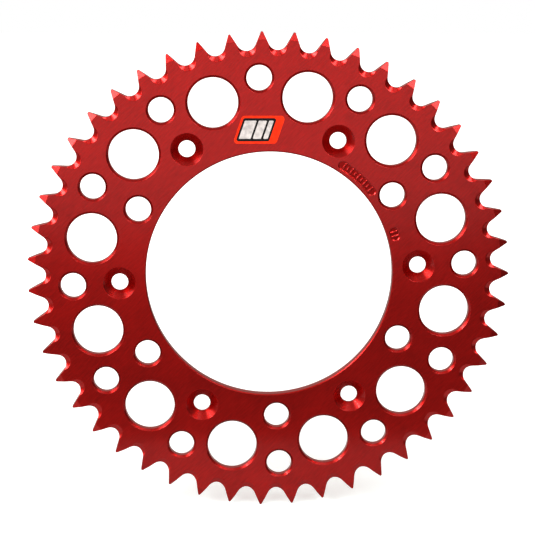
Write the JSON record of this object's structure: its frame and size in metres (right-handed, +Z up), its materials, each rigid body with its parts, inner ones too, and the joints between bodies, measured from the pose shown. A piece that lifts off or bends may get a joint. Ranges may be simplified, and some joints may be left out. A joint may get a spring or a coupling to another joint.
{
  "type": "rear sprocket",
  "caption": "Flat ring-shaped rear chain sprocket with round lightening holes, countersunk bolt holes and a small decal.",
  "frame": {"origin": "centre of the bore, midway through the plate's thickness", "axes": "+Y along the wheel axle towards the hub side, -Y out of the countersunk front face, +Z up, +X to the right as the front is seen"},
  "size_m": [0.2458, 0.0061, 0.2458],
  "materials": {
    "red_anodised_aluminium": "satin red anodised",
    "orange_red_vinyl": "glossy vinyl film",
    "black_print": "glossy black ink",
    "silver_print": "glossy silver-grey ink"
  },
  "bodies": {
    "root": {"sprocket_plate": "red_anodised_aluminium", "decal_film": "orange_red_vinyl", "decal_black_print": "black_print", "decal_silver_print": "silver_print"}
  },
  "joints": []
}
